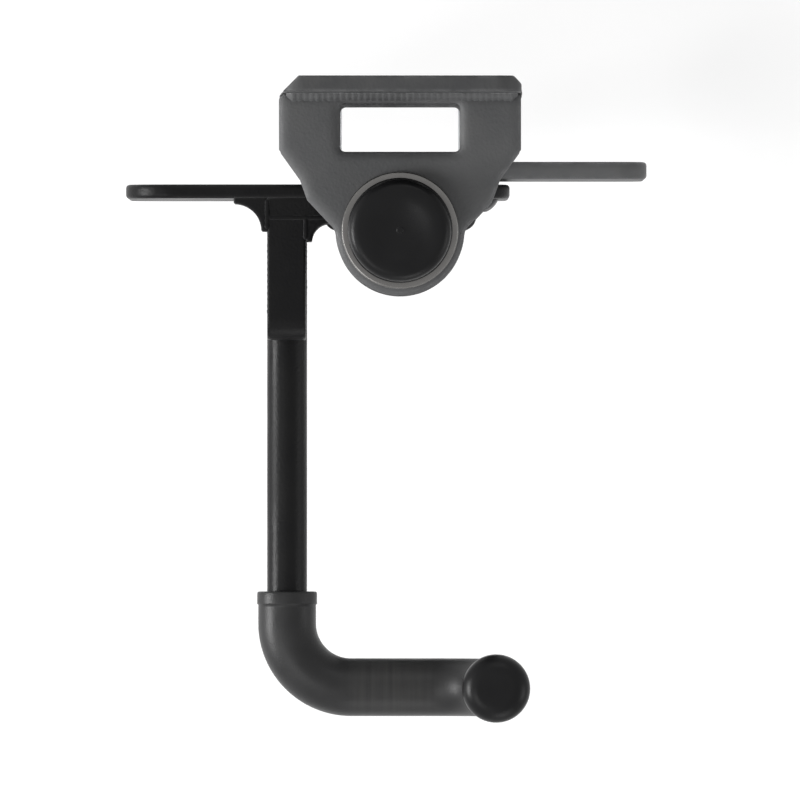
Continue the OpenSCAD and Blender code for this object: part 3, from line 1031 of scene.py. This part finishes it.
# A low bead along a seam in a flat face; outward points out of the face
def seamBead(first, last, outward, leg, seed):
    line = straightLine(first, last)
    across = (line[-1] - line[0]).normalized().cross(outward)
    toes = (weld["seamLift"] * outward + across, weld["seamLift"] * outward - across)
    return makeBead(line, lambda i: toes, leg, seed, weld["seamSink"])


def joinBeads(name, beads, body, slot, coat):
    points, faces = [], []
    for morePoints, moreFaces in beads:
        faces += [tuple(i + len(points) for i in face) for face in moreFaces]
        points += morePoints
    finish = powderCoat(name + "Coat", {**coat, **weldLook})
    return addPiece(name, points, faces, body, slot, weld["sharpDegrees"], finish)


# Leftmost and rightmost x of a node's points in the plane at depth y
def sidePoints(node, y):
    points = [nodes[node].matrix_world @ v.co for v in nodes[node].data.vertices]
    xs = [p.x for p in points if abs(p.y - y) < weld["sameGap"]]
    return min(xs), max(xs)


# Lugs to wall plate: above and below each lug, and up both sides
def lugBeads():
    beads = []
    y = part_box("wall_plate")[0].y
    inset = weld["lugInset"]
    for seed, node in enumerate(("upper_lug", "lower_lug")):
        low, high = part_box(node)
        left, right = sidePoints(node, y)
        for z, up in ((high.z, 1), (low.z, -1)):
            ends = ((left + inset, y, z), (right - inset, y, z))
            walls = (Vector((0, 0, up)), Vector((0, -1, 0)))
            beads.append(cornerBead(*ends, *walls, weld["lugLeg"], seed + up))
        for x, outermost, side in ((left, low.x, -1), (right, high.x, 1)):
            cutOff = abs(x - outermost) > weld["cutGap"]
            outward = Vector((side, 1 if cutOff else 0, 0)).normalized()
            ends = ((x, y, low.z + inset), (x, y, high.z - inset))
            beads.append(seamBead(*ends, outward, weld["lugSeamLeg"], weldSeeds["lugSeam"] + seed + side))
    return beads


joinBeads("lugWelds", lugBeads(), "bracket", "bracket_paint", greyCoat)


# Link to tube, in the two upright corners
def tubeBeads(linkLow, linkHigh, pivot, tubeR):
    beads = []
    inset = weld["armInset"]
    for seed, (y, along) in enumerate(((linkHigh.y, 1), (linkLow.y, -1))):
        x = pivot.x - math.sqrt(tubeR ** 2 - (y - pivot.y) ** 2)
        normal = Vector(((x - pivot.x) / tubeR, (y - pivot.y) / tubeR, 0))
        walls = (Vector((-1, 0, 0)), Vector((normal.y, -normal.x, 0)) * along)
        ends = ((x, y, linkLow.z + inset), (x, y, linkHigh.z - inset))
        beads.append(cornerBead(*ends, *walls, weld["armLeg"], weldSeeds["tube"] + seed))
    return beads


# Bar to link, in the upright corner between the gussets
def barBead():
    gusset = weld["gussetThickness"]
    ends = [(barHigh.x, barHigh.y, z) for z in (barLow.z + gusset, barHigh.z - gusset)]
    walls = (Vector((1, 0, 0)), Vector((0, -1, 0)))
    return cornerBead(*ends, *walls, weld["armLeg"], weldSeeds["bar"])


# Rod to bar, along both sides of the rod under the bar
def rodBeads():
    beads = []
    dip = barLow.z - rodZ
    reach = math.sqrt(rodRadius ** 2 - dip ** 2)
    for side in (-1, 1):
        x = rodX + side * reach
        down = Vector((side * dip, 0, -reach)) / rodRadius
        ends = [(x, y, barLow.z) for y in (barHigh.y - weld["armInset"], barLow.y + weld["barCorner"])]
        walls = (Vector((side * weld["rodSideShare"], 0, 0)), down)
        beads.append(cornerBead(*ends, *walls, weld["rodLeg"], weldSeeds["rod"] + side))
    return beads


# Flush seams on top of the arm's root and under it
def rootSeams(linkLow, linkHigh):
    beads = []
    gussetLow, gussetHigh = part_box("arm_gussets")
    inset = weld["armInset"]
    front = linkLow.y
    for z, up in ((linkHigh.z, 1), (linkLow.z, -1)):
        seams = (
            ((barLow.x, linkHigh.y - inset, z), (barLow.x, front - weld["rootPast"], z)),
            ((barLow.x, front, z), (gussetHigh.x - inset, front, z)),
            ((barHigh.x, front, z), (barHigh.x, gussetLow.y + inset, z)),
        )
        for seed, ends in enumerate(seams):
            outward = Vector((0, 0, up))
            beads.append(seamBead(*ends, outward, weld["armSeamLeg"], weldSeeds["armSeam"] + up + seed))
    return beads


# Stop finger to tube, along the arc on top of the finger
def fingerBead(pivot, tubeR):
    low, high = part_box("stop_finger")
    half = math.asin((high.x - low.x) / 2 / tubeR)
    count = weld["fingerSteps"]
    turns = [half * (2 * i / count - 1) * weld["fingerShare"] for i in range(count + 1)]
    line = [pivot + Vector((tubeR * math.sin(a), tubeR * math.cos(a), high.z)) for a in turns]
    outward = [Vector((math.sin(a), math.cos(a), 0)) for a in turns]
    up = Vector((0, 0, 1))
    return makeBead(line, lambda i: (outward[i], up), weld["fingerLeg"], weldSeeds["finger"])


def armBeads():
    linkLow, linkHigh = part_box("arm_link")
    tubeLow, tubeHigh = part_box("swivel_tube")
    pivot = Vector((*middleXY(tubeLow, tubeHigh), 0))
    tubeR = (tubeHigh.x - tubeLow.x) / 2
    beads = tubeBeads(linkLow, linkHigh, pivot, tubeR) + [barBead()] + rodBeads()
    return beads + rootSeams(linkLow, linkHigh) + [fingerBead(pivot, tubeR)]


joinBeads("armWelds", armBeads(), "arm", "black_paint", blackCoat)
print("welds laid")


# Stage: a pale floor well below the rack, and plain soft light
stage = {
    "floorGap": 40 * mm,
    "floorHalf": 30.0,
    "floorColour": (0.80, 0.80, 0.80),
    "floorRoughness": 0.9,
    "floorLift": 0.26,    # what the floor adds for the camera, so that it is white where no shadow falls
    "fade": (0.30, 1.1),  # where the floor starts and ends turning into the white background
    "skyLight": 0.38,
}
lamps = {
    "key": {"at": (-1.1, -0.9, 1.9), "size": 0.9, "power": 12.0},
    "right": {"at": (1.9, -0.5, 0.55), "size": 0.9, "power": 8.0},
    "left": {"at": (-1.9, -0.2, 0.45), "size": 0.7, "power": 44.0},
    "back": {"at": (0.3, 1.8, 1.6), "size": 1.0, "power": 7.0},
    "front": {"at": (0.5, -2.2, 0.7), "size": 1.1, "power": 14.0},
}


# 1 for rays that show the floor or the background, straight, mirrored or through glass, and else 0
def seenRay(tree):
    path = addNode(tree, "ShaderNodeLightPath")
    seen = mathNode(tree, "MAXIMUM", path.outputs["Is Camera Ray"], path.outputs["Is Glossy Ray"])
    return mathNode(tree, "MAXIMUM", seen, path.outputs["Is Transmission Ray"])


def floorFinish(z):
    material, tree, shader = newMaterial("paleFloor")
    away = addNode(tree, "ShaderNodeVectorMath", {1: (0, 0, z)}, operation="DISTANCE")
    tree.links.new(objectCoords(tree), away.inputs[0])
    fade = rangeNode(tree, away.outputs["Value"], *stage["fade"])
    setColour(tree, shader, colourMix(tree, fade, stage["floorColour"], (0, 0, 0)))
    shader.inputs["Roughness"].default_value = stage["floorRoughness"]
    shader.inputs["Specular IOR Level"].default_value = 0.0
    shader.inputs["Emission Color"].default_value = (1, 1, 1, 1)
    glow = rangeNode(tree, fade, 0, 1, stage["floorLift"], 1.0)
    tree.links.new(mathNode(tree, "MULTIPLY", seenRay(tree), glow), shader.inputs["Emission Strength"])
    return material


def addFloor():
    half, z = stage["floorHalf"], cadBox[0].z - stage["floorGap"]
    mesh = bpy.data.meshes.new("floor")
    corners = [(x * half, y * half, z) for x, y in ((-1, -1), (1, -1), (1, 1), (-1, 1))]
    mesh.from_pydata(corners, [], [(0, 1, 2, 3)])
    mesh.materials.append(floorFinish(z))
    floor = bpy.data.objects.new("floor", mesh)
    bpy.context.scene.collection.objects.link(floor)


def addSky():
    world = bpy.data.worlds.new("studio")
    world.use_nodes = True
    tree = world.node_tree
    background = tree.nodes["Background"]
    background.inputs["Color"].default_value = (1, 1, 1, 1)
    strength = rangeNode(tree, seenRay(tree), 0, 1, stage["skyLight"], 1.0)
    tree.links.new(strength, background.inputs["Strength"])
    bpy.context.scene.world = world


def addLamps():
    target = Vector((0, camera["centreY"], 0))
    for name, lamp in lamps.items():
        data = bpy.data.lights.new(name + "Lamp", "AREA")
        data.size = lamp["size"]
        data.energy = lamp["power"]
        obj = bpy.data.objects.new(name + "Lamp", data)
        obj.location = lamp["at"]
        obj.rotation_euler = (target - obj.location).to_track_quat("-Z", "Y").to_euler()
        obj.visible_camera = False
        bpy.context.scene.collection.objects.link(obj)


addFloor()
addSky()
addLamps()
bpy.context.scene.view_settings.view_transform = "Standard"
print("stage set")
